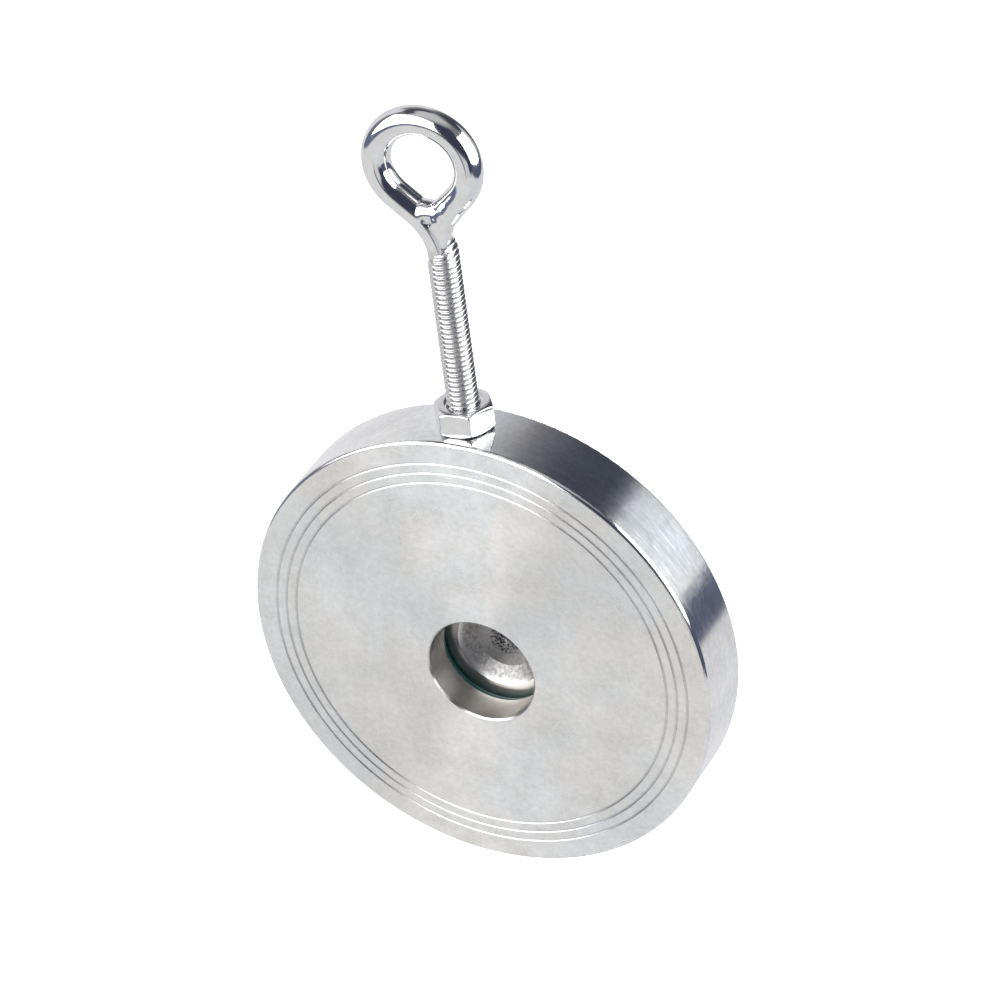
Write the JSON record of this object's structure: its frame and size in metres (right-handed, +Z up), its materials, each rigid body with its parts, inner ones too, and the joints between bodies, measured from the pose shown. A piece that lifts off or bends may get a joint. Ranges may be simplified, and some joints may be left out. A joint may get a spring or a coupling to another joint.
{
  "type": "wafer check valve",
  "caption": "Thin wafer swing check valve: a flat round steel body with an offset bore, a hinged flap on an O-ring seat and a lifting eyebolt on its rim.",
  "frame": {"origin": "centre of the inlet face, on the axis of the round body", "axes": "+Y along the flow, from the inlet face to the outlet face; +Z up through the lifting eyebolt; +X along the flap's hinge pin"},
  "size_m": [0.092, 0.014, 0.1566],
  "materials": {
    "body_steel": "turned stainless steel, fine circular tool marks",
    "flap_steel": "machined stainless steel, mottled in the dish",
    "keeper_steel": "milled stainless steel",
    "fastener_steel": "smooth stainless steel",
    "polished_steel": "bright polished stainless steel",
    "seal_rubber": "dark green fluoroelastomer",
    "washer_plastic": "white PTFE"
  },
  "bodies": {
    "housing": {"valve_body": "body_steel", "seat_o_ring": "seal_rubber", "hinge_pin": "fastener_steel", "thrust_washer_left": "washer_plastic", "thrust_washer_right": "washer_plastic", "pin_keeper_left": "keeper_steel", "pin_keeper_right": "keeper_steel", "keeper_screw_left": "fastener_steel", "keeper_screw_right": "fastener_steel", "lifting_eyebolt": "polished_steel", "lock_nut": "polished_steel"},
    "flap": {"flap": "flap_steel"}
  },
  "joints": [
    {"name": "flap_hinge", "type": "hinge", "parent": "housing", "child": "flap", "pos_m": [0, 0.01028, 0.015], "axis": [1, 0, 0], "range_deg": [0, 70]}
  ]
}
